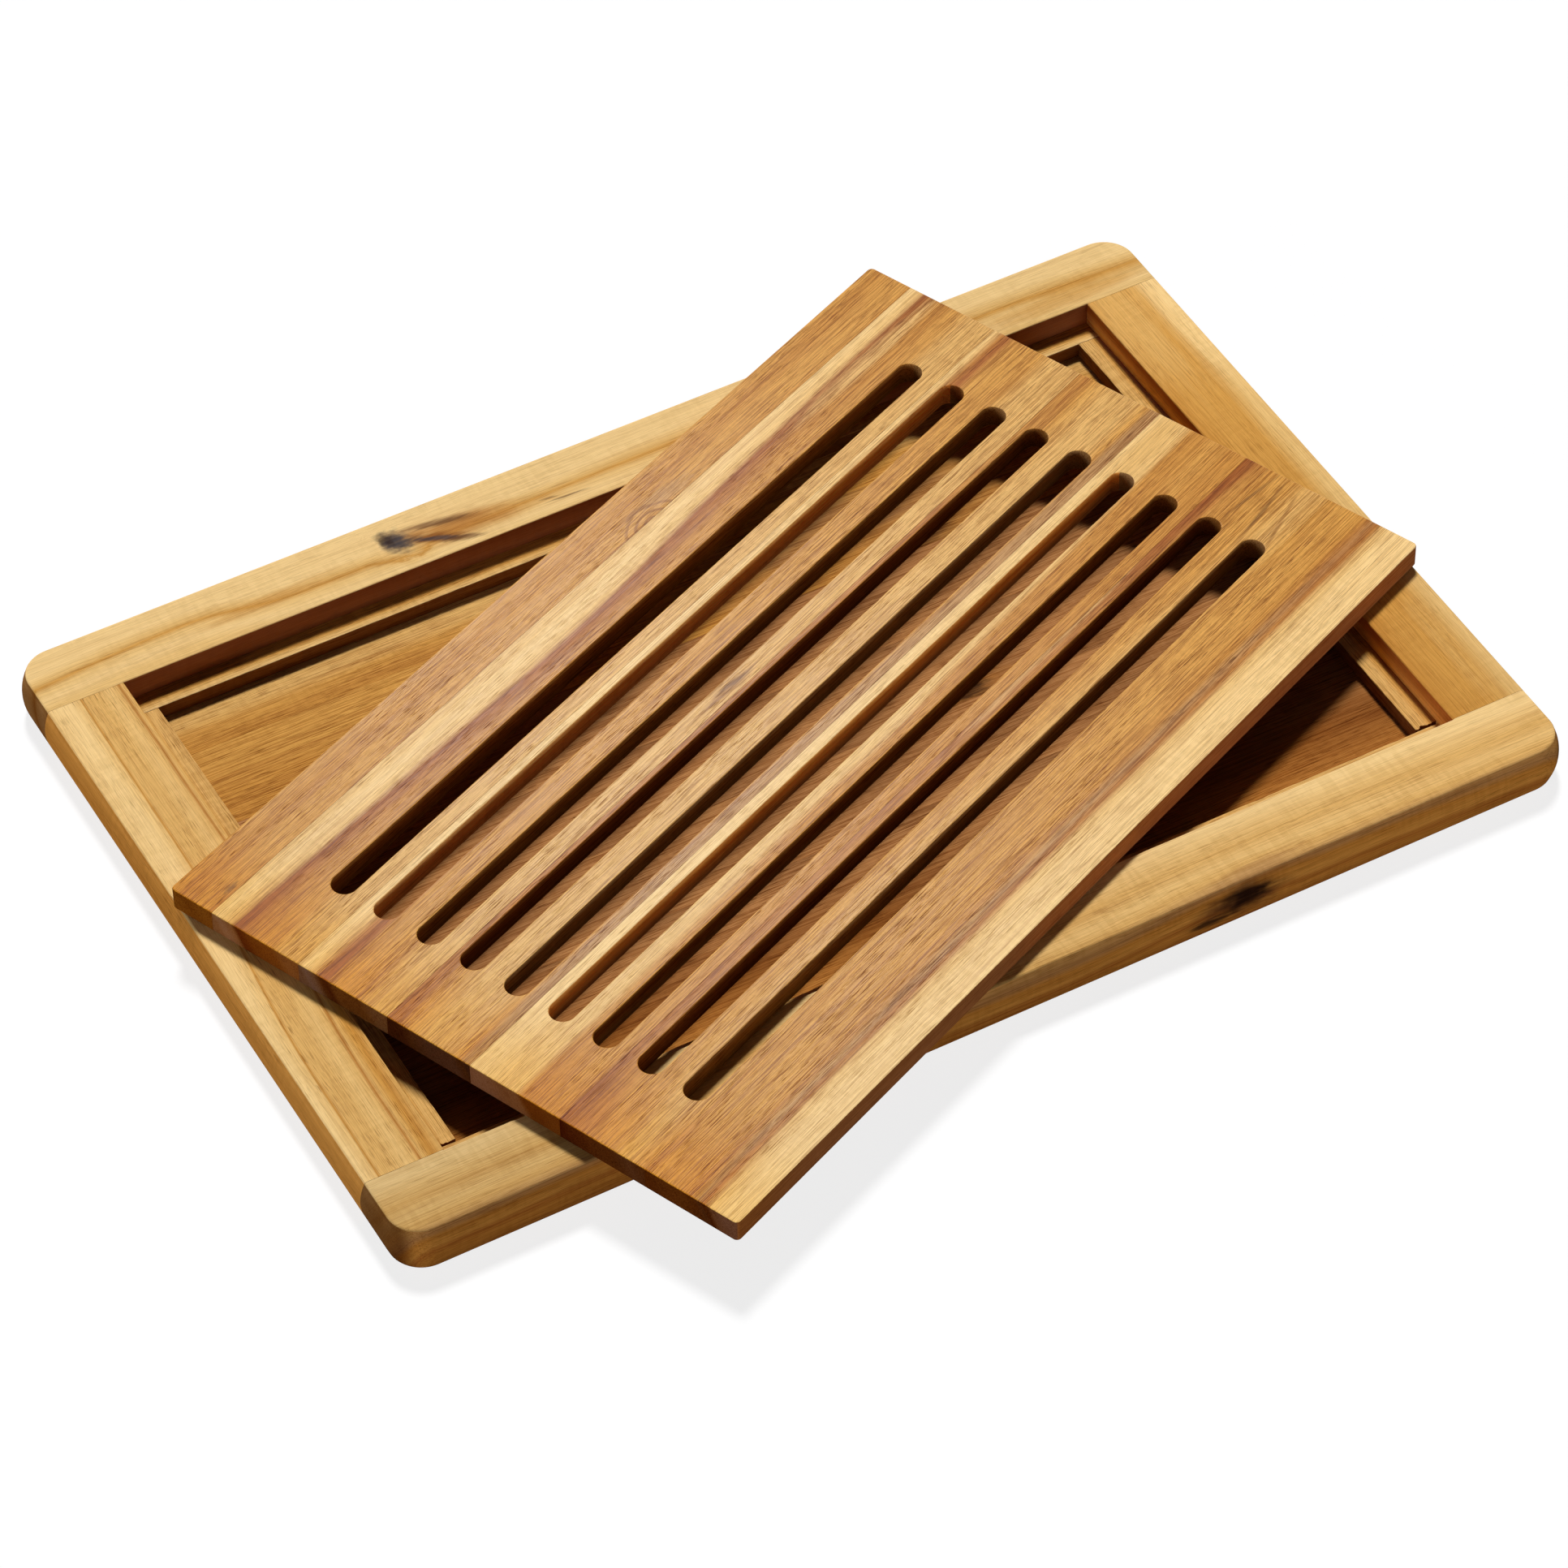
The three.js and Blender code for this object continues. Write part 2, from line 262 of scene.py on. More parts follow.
# What each of them does to the colour
DARK_LINE = (0.66, 0.5, 0.36)
PALE_LINE = (1.1, 1.1, 1.08)
DARK_STREAK = (0.74, 0.6, 0.48)
DARK_FIBRE = (0.64, 0.52, 0.4)
PALE_FIBRE = (1.12, 1.13, 1.13)
DARK_SPECK = (0.8, 0.74, 0.66)
CURL_SHADE = (0.84, 0.79, 0.7)
PORE_SHADE = (0.38, 0.26, 0.18)
DARKER_START_TINT = (1.0, 0.8, 0.22)

# In millimetres: how far a ring leans over with each one of depth, how wide a band a drift can
# cross, how far from its first end the top is darkened, between which heights under the top the
# walls turn from their upper painted shading to their lower one, and how rough pores and fibres feel
RING_LEAN = 0.55
DRIFT_SPAN = 24.0
DARKER_START_REACH = 46.0
WALL_HEAD = -1.5
WALL_FOOT = -9.0
PORE_RELIEF = 0.12

# A knot or a flame: its middle and half its size, in millimetres along the grain and across it,
# its lean, its tone and how strongly that shows, how far it pushes the rings aside, and for one
# on a side its depth below the upper face
Mark = namedtuple("Mark", "u v half_u half_v lean tone strength push depth", defaults=[None])
# Rings round a pin knot, given in the same way
Swirl = namedtuple("Swirl", "u v half_u half_v tone strength")
# A stretch of the cut faces, along the grain and across it, with its painted shading above and below
Wall = namedtuple("Wall", "from_u to_u from_v to_v head foot")


def tint(red, green, blue):
    """A colour given as the screen shows it, as the shaders take it."""
    parts = [value / 255 for value in (red, green, blue)]
    return [p / 12.92 if p <= 0.04045 else ((p + 0.055) / 1.055) ** 2.4 for p in parts] + [1]


class Wood:
    """An oiled hardwood, laid down layer by layer. Its nodes work in the piece's own
    millimetres: u along the grain and v across it, from a corner, and w up from the top."""

    def __init__(self, name, corner, along, across, length, seed):
        self.material = bpy.data.materials.new(name)
        self.material.use_nodes = True
        self.tree = self.material.node_tree
        self.length = length
        self.seed = seed
        surface = fit_node(self.tree, "ShaderNodeTexCoord").outputs
        self.normal = surface["Normal"]
        turn = math.radians(along)
        self.grain_way = (math.cos(turn), math.sin(turn), 0)
        inputs = {
            "Vector": surface["Object"],
            "Location": corner,
            "Rotation": (0, 0, turn),
            "Scale": (MM, across * MM, MM),
        }
        mapping = fit_node(self.tree, "ShaderNodeMapping", inputs, vector_type="TEXTURE")
        self.local = mapping.outputs[0]
        self.u, self.v, self.w = self.split(self.local)

    def maths(self, operation, *values):
        inputs = dict(enumerate(values))
        return fit_node(self.tree, "ShaderNodeMath", inputs, operation=operation).outputs[0]

    def vectors(self, operation, *values):
        inputs = dict(enumerate(values))
        return fit_node(self.tree, "ShaderNodeVectorMath", inputs, operation=operation).outputs

    def split(self, vector):
        return fit_node(self.tree, "ShaderNodeSeparateXYZ", {0: vector}).outputs

    def mapped(self, value, low, high, to_low=0.0, to_high=1.0):
        """A value taken smoothly from one range to another."""
        inputs = {0: value, 1: low, 2: high, 3: to_low, 4: to_high}
        node = fit_node(self.tree, "ShaderNodeMapRange", inputs, interpolation_type="SMOOTHSTEP")
        return node.outputs[0]

    def sway(self, value, reach):
        """A value from nought to one, as a shift to either side of nought."""
        return self.maths("MULTIPLY_ADD", value, reach, -reach / 2)

    def cloud(self, figure):
        """Smooth noise in marks of a figure's size. Most of it lies between 0.3 and 0.7."""
        scale = (1 / figure.length, 1 / figure.width, 1 / figure.width)
        offset = [
            self.seed * seed_stride + figure.layer * layer_stride
            for seed_stride, layer_stride in zip(SEED_STRIDES, LAYER_STRIDES)
        ]
        place = self.vectors("MULTIPLY_ADD", self.local, scale, offset)[0]
        inputs = {"Vector": place, "Scale": 1.0, "Detail": figure.detail, "Roughness": 0.5}
        return fit_node(self.tree, "ShaderNodeTexNoise", inputs).outputs[0]

    def mixed(self, amount, first, second, blend="MIX"):
        inputs = {0: amount, 6: first, 7: second}
        node = fit_node(self.tree, "ShaderNodeMix", inputs, data_type="RGBA", blend_type=blend)
        return node.outputs[2]

    def multiply_colour(self, amount, by):
        """Multiplies the colour by a tint, for the wood's own marks and for painted shade alike."""
        self.colour = self.mixed(amount, self.colour, (*by, 1), "MULTIPLY")

    def paint(self, amount, tone):
        """Covers the colour with a tone."""
        self.colour = self.mixed(amount, self.colour, tint(*WOOD_TONES[tone]))

    def lay_rings(self, wander, drift):
        """Finds the growth ring that each point lies on, as millimetres across the piece."""
        self.ring = self.maths("MULTIPLY_ADD", self.w, RING_LEAN, self.v)
        self.waves = self.cloud(FINE_WAVES)
        shifts = [
            self.sway(self.cloud(BROAD_WAVES), wander * 2.0),
            self.sway(self.waves, wander * 0.55),
        ]
        if drift:
            share = self.maths("DIVIDE", self.u, self.length)
            curve = fit_node(self.tree, "ShaderNodeFloatCurve", {1: share})
            points = curve.mapping.curves[0].points
            while len(points) < len(drift):
                points.new(0.5, 0.5)
            for point, (place, aside) in zip(points, drift):
                point.location = (place / self.length, 0.5 - aside / DRIFT_SPAN)
                point.handle_type = "AUTO_CLAMPED"
            curve.mapping.update()
            shifts.append(self.sway(curve.outputs[0], DRIFT_SPAN))
        for shift in shifts:
            self.ring = self.maths("ADD", self.ring, shift)

    def find_mark(self, mark, layer):
        """Gives where a mark lies, one in its core, and pushes the rings aside around it."""
        on_side = mark.depth is not None
        middle = (mark.u, mark.v, -mark.depth if on_side else 0)
        away = self.vectors("SUBTRACT", self.local, middle)[0]
        if mark.lean:
            rise = self.maths("MULTIPLY", self.split(away)[0], mark.lean)
            sheared = fit_node(self.tree, "ShaderNodeCombineXYZ", {1: rise}).outputs[0]
            away = self.vectors("SUBTRACT", away, sheared)[0]
        reach_up = (1.0 if on_side else 0.4) / mark.half_v
        away = self.vectors("MULTIPLY", away, (1 / mark.half_u, 1 / mark.half_v, reach_up))[0]
        edge = Figure(mark.half_u * 0.5, mark.half_v * 0.35, layer, detail=3.0)
        ragged = self.sway(self.cloud(edge), 1.1)
        reach = self.maths("ADD", self.vectors("LENGTH", away)[1], ragged)
        if mark.push:
            aside = self.maths("SUBTRACT", self.v, mark.v)
            pull = self.maths("MULTIPLY", aside, self.mapped(reach, 0.2, 2.2, mark.push, 0.0))
            self.ring = self.maths("SUBTRACT", self.ring, pull)
        return self.mapped(reach, 0.25, 1.0, 1.0, 0.0)

    def lay_tones(self, bands):
        """Gives each ring its tone, and keeps how clearly that tone shows the grain."""
        first, last = bands[0][0], bands[-1][0]
        share = self.maths("DIVIDE", self.maths("SUBTRACT", self.ring, first), last - first)
        ramp = fit_node(self.tree, "ShaderNodeValToRGB", {0: share})
        stops = ramp.color_ramp.elements
        for place, _ in bands[1:-1]:
            stops.new((place - first) / (last - first))
        for stop, (_, tone) in zip(stops, bands):
            stop.color = tint(*WOOD_TONES[tone])[:3] + [GRAIN_SHOWS.get(tone, 1.0)]
        self.colour, self.shows = ramp.outputs

    def draw_streaks(self, streaks):
        """Growth lines, dark ones and pale ones, and broad streaks across them."""
        place = self.maths("MULTIPLY_ADD", self.ring, 0.55, self.seed * 3.3)
        inputs = {"W": place, "Detail": 3.0, "Roughness": 0.62}
        line_node = fit_node(self.tree, "ShaderNodeTexNoise", inputs, noise_dimensions="1D")
        lines = line_node.outputs[0]
        self.multiply_colour(self.mapped(lines, 0.5, 0.3, 0.0, streaks), DARK_LINE)
        self.multiply_colour(self.mapped(lines, 0.52, 0.72, 0.0, streaks), PALE_LINE)
        self.streak = self.cloud(BROAD_STREAKS)
        self.multiply_colour(self.mapped(self.streak, 0.5, 0.3, 0.0, streaks * 0.7), DARK_STREAK)

    def draw_mark(self, mark, core):
        """Paints a mark, feathered along the streaks."""
        feather = self.maths("MULTIPLY", core, self.mapped(self.streak, 0.35, 0.6, 0.75, 1.0))
        self.paint(self.maths("MULTIPLY", feather, mark.strength), mark.tone)

    def draw_swirl(self, swirl):
        """Paints fine rings round a pin knot."""
        away = self.vectors("SUBTRACT", self.local, (swirl.u, swirl.v, 0))[0]
        away = self.vectors("MULTIPLY", away, (1 / swirl.half_u, 1 / swirl.half_v, 0))[0]
        reach = self.maths("ADD", self.vectors("LENGTH", away)[1], self.sway(self.waves, 0.7))
        wave = self.maths("SINE", self.maths("MULTIPLY", reach, 2 * math.pi / 0.45))
        rings = self.maths("MULTIPLY", self.mapped(wave, 0.0, 0.9), self.mapped(reach, 1.35, 0.9))
        self.paint(self.maths("MULTIPLY", rings, swirl.strength), swirl.tone)

    def draw_fibres(self, grain, fibres, ripple):
        """Long lines of grain, short fibres and their specks, then the curl across them."""
        self.fibre = self.cloud(FIBRES)
        for noise_value, low, high, strength, by in (
            (self.cloud(GRAIN_LINES), 0.52, 0.64, grain, DARK_FIBRE),
            (self.fibre, 0.52, 0.64, fibres, DARK_FIBRE),
            (self.fibre, 0.48, 0.36, fibres, PALE_FIBRE),
            (self.cloud(SPECKS), 0.48, 0.64, fibres * 0.3, DARK_SPECK),
        ):
            drawn = self.mapped(noise_value, low, high, 0.0, strength)
            self.multiply_colour(self.maths("MULTIPLY", drawn, self.shows), by)
        curl = self.mapped(self.cloud(CURL), 0.4, 0.62, 0.0, ripple)
        curled = self.mapped(self.cloud(CURLED_PARTS), 0.36, 0.58)
        self.multiply_colour(self.maths("MULTIPLY", curl, curled), CURL_SHADE)

    def open_pores(self, pores):
        """Short dark pores, in drifts."""
        pore = self.mapped(self.cloud(PORES), 0.6, 0.68)
        drifts = self.mapped(self.cloud(PORE_DRIFTS), 0.35, 0.6, 0.3, 1.0)
        self.pore = self.maths("MULTIPLY", pore, drifts)
        seen = self.maths("MULTIPLY", self.pore, self.maths("MULTIPLY", self.shows, pores))
        self.multiply_colour(seen, PORE_SHADE)

    def shade_length(self, shade):
        """Lightens or darkens the wood from one end to the other."""
        level = self.mapped(self.u, 0.0, self.length, *shade)
        inputs = {0: self.colour, "Scale": level}
        scaled = fit_node(self.tree, "ShaderNodeVectorMath", inputs, operation="SCALE")
        self.colour = scaled.outputs[0]

    def darken_start(self, darker_start):
        """Darkens the top towards the end that the grain starts at."""
        start_darkening = self.mapped(self.u, 0.0, DARKER_START_REACH, darker_start, 0.0)
        self.multiply_colour(self.maths("MULTIPLY", start_darkening, self.shows), DARKER_START_TINT)

    def facing(self, way):
        return self.vectors("DOT_PRODUCT", self.normal, way)[1]

    def tint_end_grain_and_paint_shading(self, side, end, under, walls):
        """Tints the cut faces: darker end grain on the ends, and painted shade and painted light
        on the sides, the walls and the lower faces.
        """
        self.level = self.maths("ABSOLUTE", self.facing((0, 0, 1)))
        endways = self.maths("ABSOLUTE", self.facing(self.grain_way))
        cut = self.mixed(self.mapped(endways, 0.5, 0.85), (*side, 1), (*end, 1))
        # Stretches of the walls get painted shading instead, from a head tint to a foot tint
        if walls:
            sunk = self.mapped(self.w, WALL_FOOT, WALL_HEAD, 1.0, 0.0)
        for wall in walls:
            wall_shading = self.mixed(sunk, (*wall.head, 1), (*wall.foot, 1))
            within = [
                self.maths("COMPARE", place, (start + stop) / 2, (stop - start) / 2)
                for place, start, stop in (
                    (self.u, wall.from_u, wall.to_u),
                    (self.v, wall.from_v, wall.to_v),
                )
            ]
            cut = self.mixed(self.maths("MULTIPLY", *within), cut, wall_shading)
        cut = self.mixed(1.0, self.colour, cut, "MULTIPLY")
        self.colour = self.mixed(self.mapped(self.level, 0.7, 0.3), self.colour, cut)
        # Painted shade on the lower faces, so that less light bounces from them into the shadows
        if under:
            self.multiply_colour(self.mapped(self.facing((0, 0, -1)), 0.6, 0.9), under)

    def polish(self, rough, shine):
        """Links the colour, the gloss and the pores' relief to the shader."""
        matt = self.maths("MULTIPLY_ADD", self.streak, 0.2, rough - 0.1)
        matt = self.maths("MULTIPLY_ADD", self.pore, 0.2, matt)
        planed = self.mapped(self.level, 0.8, 0.98, 0.0, shine)
        ridges = self.maths("MULTIPLY", self.fibre, 0.6)
        relief = self.maths("MULTIPLY_ADD", self.pore, -1.0, ridges)
        inputs = {"Height": relief, "Strength": 0.35, "Distance": PORE_RELIEF * MM}
        bump = fit_node(self.tree, "ShaderNodeBump", inputs).outputs[0]
        shader = self.tree.nodes["Principled BSDF"]
        for value, socket in (
            (self.colour, "Base Color"),
            (matt, "Roughness"),
            (planed, "Specular IOR Level"),
            (bump, "Normal"),
        ):
            self.tree.links.new(value, shader.inputs[socket])


def hardwood(
    name,
    corner,
    along,
    across,
    bands,
    length,
    seed,
    drift=(),
    marks=(),
    swirls=(),
    wander=3.0,
    streaks=0.5,
    grain=0.35,
    fibres=0.6,
    pores=0.6,
    ripple=0.3,
    side=(1.0, 0.66, 0.42),
    end=(0.42, 0.28, 0.2),
    under=None,
    walls=(),
    shade=None,
    darker_start=0.0,
    rough=0.6,
    shine=0.03,
):
    """The material of a piece whose grain starts at a corner and runs along a direction in
    degrees. across is 1 when the bands are counted to its left and -1 to its right.

    bands are (millimetres across, tone) and drift is (millimetres along, millimetres aside).
    wander, streaks, grain, fibres, pores and ripple say how strong each figure is. side and end
    tint the cut faces, as darker end grain and as painted shade and painted light for how each
    face is lit, walls add painted shading to stretches of them, and under is painted shade on the
    lower faces. shade is the level at both ends, the argument after it darkens the top towards
    the end the grain starts at, and rough and shine are the oil's dullness and gloss.
    """
    wood = Wood(name, corner, along, across, length, seed)
    wood.lay_rings(wander, drift)
    cores = [wood.find_mark(mark, FIRST_MARK_LAYER + count) for count, mark in enumerate(marks)]
    wood.lay_tones(bands)
    wood.draw_streaks(streaks)
    for mark, core in zip(marks, cores):
        wood.draw_mark(mark, core)
    for swirl in swirls:
        wood.draw_swirl(swirl)
    wood.draw_fibres(grain, fibres, ripple)
    wood.open_pores(pores)
    if shade:
        wood.shade_length(shade)
    if darker_start:
        wood.darken_start(darker_start)
    wood.tint_end_grain_and_paint_shading(side, end, under, walls)
    wood.polish(rough, shine)
    return wood.material


def rounded_slab(length, width, radius, levels, steps):
    """A slab with round corners, grown ring by ring: levels are (height, inset)."""
    slab = bmesh.new()
    bmesh.ops.create_grid(slab, x_segments=1, y_segments=1, size=0.5)
    bmesh.ops.scale(slab, vec=(length, width, 1), verts=slab.verts)
    bmesh.ops.bevel(
        slab,
        geom=list(slab.verts),
        offset=radius,
        segments=steps,
        profile=0.5,
        affect="VERTICES",
        material=-1,
    )
    ring = list(slab.edges)
    inset_before = height_before = 0.0
    for count, (height, inset) in enumerate(levels):
        if count:
            ring = grow_ring(slab, ring)
        points = {point for edge in ring for point in edge.verts}
        shrink = (radius - inset) / (radius - inset_before)
        for side_x in (-1, 1):
            for side_y in (-1, 1):
                middle = Vector((side_x * (length / 2 - radius), side_y * (width / 2 - radius), 0))
                quarter = [p for p in points if p.co.x * side_x > 0 and p.co.y * side_y > 0]
                space = Matrix.Translation(-middle)
                bmesh.ops.scale(slab, vec=(shrink, shrink, 1), space=space, verts=quarter)
        bmesh.ops.translate(slab, vec=(0, 0, height - height_before), verts=list(points))
        inset_before, height_before = inset, height
    bmesh.ops.edgeloop_fill(slab, edges=ring)
    bmesh.ops.recalc_face_normals(slab, faces=slab.faces)
    return slab


def grow_ring(shape, ring):
    """Extrudes a ring of edges on the spot, and gives the new ring."""
    grown = bmesh.ops.extrude_edge_only(shape, edges=ring)["geom"]
    return [item for item in grown if isinstance(item, bmesh.types.BMEdge)]


def score(shape, point, away, clear_outer=False):
    """Cuts a shape's faces along a plane, and gives the edges of the cut."""
    cut = bmesh.ops.bisect_plane(
        shape,
        geom=list(shape.verts) + list(shape.edges) + list(shape.faces),
        plane_co=point,
        plane_no=away,
        dist=SAME_POINT,
        clear_outer=clear_outer,
    )["geom_cut"]
    return [item for item in cut if isinstance(item, bmesh.types.BMEdge)]


def saw(shape, point, away):
    """Saws a closed shape on a plane, keeps what is behind it and closes the cut."""
    edges = score(shape, point, away, clear_outer=True)
    bmesh.ops.edgeloop_fill(shape, edges=edges)


def pick(shape, test):
    """The edges that a test on their middle and their two ends holds for."""
    picked = []
    for edge in shape.edges:
        start, stop = (point.co for point in edge.verts)
        if test((start + stop) / 2, start, stop):
            picked.append(edge)
    return picked


def ease_arris(shape, arris, steps, test):
    """Rounds off the edges that a test on their middle and their two ends holds for."""
    bmesh.ops.bevel(
        shape,
        geom=pick(shape, test),
        offset=arris,
        segments=steps,
        profile=0.5,
        affect="EDGES",
        material=-1,
    )


def finish_piece(name, shape, material, body, node, place=None):
    """Makes the named piece of a finished shape, in place of its CAD node. Faces square to an
    axis stay flat, the rest are smooth; place then moves the shape."""
    bmesh.ops.recalc_face_normals(shape, faces=shape.faces)
    shape.normal_update()
    curved = [max(abs(part) for part in face.normal) < PLANE for face in shape.faces]
    if place:
        bmesh.ops.transform(shape, matrix=place, verts=shape.verts)
    mesh = bpy.data.meshes.new(name)
    shape.to_mesh(mesh)
    shape.free()
    mesh.materials.append(material)
    mesh.set_sharp_from_angle(angle=math.radians(SHARP_EDGE))
    for face, smooth in zip(mesh.polygons, curved):
        face.use_smooth = smooth
    piece = bpy.data.objects.new(name, mesh)
    bpy.context.collection.objects.link(piece)
    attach(piece, body)
    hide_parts(node)
    return piece


def side_inset(height):
    """How far the convex side has fallen back at a height."""
    half = TRAY_HEIGHT / 2
    radius = (half**2 + SIDE_BULGE**2) / (2 * SIDE_BULGE)
    return radius - math.sqrt(radius**2 - (height - half) ** 2)


def tray_slab():
    """The outside of the tray before its opening is cut."""
    fall = side_inset(OUTER_ARRIS)
    turns = [math.pi / 2 * step / OUTER_ARRIS_STEPS for step in range(OUTER_ARRIS_STEPS)]
    foot = [
        (OUTER_ARRIS * (1 - math.cos(turn)), OUTER_ARRIS * (1 - math.sin(turn)) + fall)
        for turn in turns
    ]
    straight = TRAY_HEIGHT - 2 * OUTER_ARRIS
    heights = [OUTER_ARRIS + straight * step / SIDE_STEPS for step in range(SIDE_STEPS + 1)]
    sides = [(height, side_inset(height)) for height in heights]
    top = [(TRAY_HEIGHT - height, inset) for height, inset in reversed(foot)]
    return rounded_slab(TRAY_LENGTH, TRAY_WIDTH, CORNER_RADIUS, foot + sides + top, CORNER_STEPS)


def carve_rebate(piece):
    """Cuts the rebate for the floor panel out of a rail."""
    cutter_shape = bmesh.new()
    bmesh.ops.create_cube(cutter_shape, size=1)
    bmesh.ops.scale(
        cutter_shape,
        vec=(OPENING_LENGTH + 2 * REBATE_WIDTH, OPENING_WIDTH + 2 * REBATE_WIDTH, 2 * REBATE_HEIGHT),
        verts=cutter_shape.verts,
    )
    cutter_mesh = bpy.data.meshes.new("rebate_cutter")
    cutter_shape.to_mesh(cutter_mesh)
    cutter_shape.free()
    cutter = bpy.data.objects.new("rebate_cutter", cutter_mesh)
    bpy.context.collection.objects.link(cutter)
    carving = piece.modifiers.new("rebate", "BOOLEAN")
    carving.operation = "DIFFERENCE"
    carving.solver = "EXACT"
    carving.object = cutter
    with bpy.context.temp_override(object=piece, active_object=piece):
        bpy.ops.object.modifier_apply(modifier="rebate")
    bpy.data.objects.remove(cutter)
    bpy.data.meshes.remove(cutter_mesh)


def long_rail(name, node, side, material):
    """A long rail with both its corners, behind (1) or in front of (-1) the opening."""

    def faces_opening(middle, start, stop):
        beside = abs(middle.x) < half_opening_x
        on_side = abs(abs(middle.y) - half_opening_y) < HAIR
        return beside and on_side and min(start.z, stop.z) > TRAY_HEIGHT - HAIR

    rail = tray_slab()
    saw(rail, (0, side * half_opening_y, 0), (0, -side, 0))
    for x in (-half_opening_x, half_opening_x):
        score(rail, (x, 0, 0), (1, 0, 0))
    ease_arris(rail, RAIL_ARRIS, RAIL_ARRIS_STEPS, faces_opening)
    carve_rebate(finish_piece(name, rail, material, "tray", node))


def short_rail(name, node, side, material):
    """A short rail between the long ones, left (-1) or right (1) of the opening."""

    def faces_opening(middle, start, stop):
        on_side = abs(abs(middle.x) - half_opening_x) < HAIR
        return on_side and min(start.z, stop.z) > TRAY_HEIGHT - HAIR

    rail = tray_slab()
    joint = half_opening_y - GLUE_LINE
    saw(rail, (side * half_opening_x, 0, 0), (-side, 0, 0))
    saw(rail, (0, joint, 0), (0, 1, 0))
    saw(rail, (0, -joint, 0), (0, -1, 0))
    ease_arris(rail, RAIL_ARRIS, RAIL_ARRIS_STEPS, faces_opening)
    carve_rebate(finish_piece(name, rail, material, "tray", node))


def inner_wall(length, head, foot):
    """The stretch of a rail's cut faces that faces the opening, with its painted shading at the head
    and the foot.
    """
    opening_side = 31.4
    rail_width = 33
    return [Wall(0, length, opening_side, rail_width, head, foot)]


back_wood = hardwood(
    "back_rail_wood",
    corner=(-TRAY_LENGTH / 2, TRAY_WIDTH / 2, TRAY_HEIGHT),
    along=0,
    across=-1,
    length=475,
    seed=1,
    bands=[
        (-12, "wheat"), (0, "cream"), (13, "cream"), (16, "straw"), (18, "wheat"),
        (19.5, "honey"), (22, "straw"), (27, "cream"), (32, "straw"),
    ],
    drift=[(0, 0), (60, -3), (110, 3), (160, 2), (300, -1), (400, -2), (475, 0)],
    marks=[
        Mark(95, 20, 42, 4.5, -0.05, "amber", 0.45, 0.0),
        Mark(185, 19, 42, 7, 0.1, "amber", 0.5, 0.0),
        Mark(173, 18.5, 30, 9.0, 0.15, "russet", 0.8, 0.0),
        Mark(170, 14.2, 19, 2.6, 0.18, "bark", 0.85, 0.0),
        Mark(166, 21, 17, 4.0, 0.4, "umber", 0.9, 0.0),
        Mark(166, 21.6, 14, 2.0, 0.42, "slate", 0.85, 0.0),
        Mark(175, 26.0, 10, 2.2, 0.25, "bark", 0.85, 0.0),
        Mark(152.5, 16, 8.5, 8.0, 0.15, "slate", 0.9, 0.8),
        Mark(150.5, 14.5, 6.5, 7.0, 0.3, "slate", 0.9, 0.0),
        Mark(149, 12.5, 4.5, 5.5, 0.3, "soot", 0.8, 0.0),
        Mark(219, 25.5, 11, 0.8, 0.05, "bark", 0.7, 0.0),
        Mark(212, 23.2, 5, 0.7, 0.1, "bark", 0.6, 0.0),
        Mark(440, 23, 48, 9, -0.04, "honey", 0.75, 0.0),
    ],
    ripple=0.25,
    streaks=0.22,
    fibres=0.45,
    pores=0.45,
    walls=inner_wall(475, head=(0.39, 0.21, 0.2), foot=(0.64, 0.39, 0.38)),
)
front_wood = hardwood(
    "front_rail_wood",
    corner=(-TRAY_LENGTH / 2, -TRAY_WIDTH / 2, TRAY_HEIGHT),
    along=0,
    across=1,
    length=475,
    seed=2,
    bands=[
        (-12, "russet"), (-8, "amber"), (-6.5, "russet"), (-5, "honey"), (-2, "amber"),
        (0, "ash"), (5, "wheat"), (10, "straw"), (16, "wheat"), (21, "straw"), (27, "cream"),
        (32, "cream"),
    ],
    drift=[(0, 0), (120, 1.5), (260, -1), (330, 1.5), (475, -1)],
    marks=[
        Mark(333, 0.0, 25, 9.5, 0.0, "bark", 0.85, 0.3, depth=8),
        Mark(336, 0.0, 15, 7.0, 0.0, "soot", 1.0, 0.5, depth=7),
        Mark(321, 0.0, 13, 3.4, 0.0, "soot", 0.85, 0.0, depth=13),
        Mark(352, 0.6, 30, 1.8, 0.0, "russet", 0.7, 0.0),
        Mark(345, 5, 22, 4, 0.12, "ash", 0.6, 0.0),
    ],
    ripple=0.42,
    fibres=0.4,
    pores=0.45,
    streaks=0.4,
    shade=(0.8, 1.04),
    # Its outer side is tinted lighter than the others: painted light on the front face
    side=(1.2, 1.03, 0.9),
    walls=inner_wall(475, head=(0.44, 0.25, 0.22), foot=(0.6, 0.36, 0.32)),
)
left_wood = hardwood(
    "left_rail_wood",
    corner=(-TRAY_LENGTH / 2, -half_opening_y, TRAY_HEIGHT),
    along=90,
    across=-1,
    length=257,
    seed=3,
    bands=[
        (-12, "straw"), (0, "cream"), (3, "cream"), (7.2, "straw"), (7.9, "amber"),
        (8.8, "wheat"), (14, "wheat"), (19, "straw"), (22.8, "wheat"), (23.6, "russet"),
        (24.6, "wheat"), (27, "honey"), (28.4, "amber"), (33, "wheat"),
    ],
    drift=[(0, 0), (60, 1), (150, 6.5), (257, 7)],
    wander=1.6,
    fibres=0.5,
    pores=0.8,
    grain=0.25,
    streaks=0.3,
    shade=(0.97, 1.04),
    side=(0.98, 0.65, 0.32),
    walls=inner_wall(257, head=(0.44, 0.25, 0.22), foot=(0.6, 0.36, 0.32)),
)
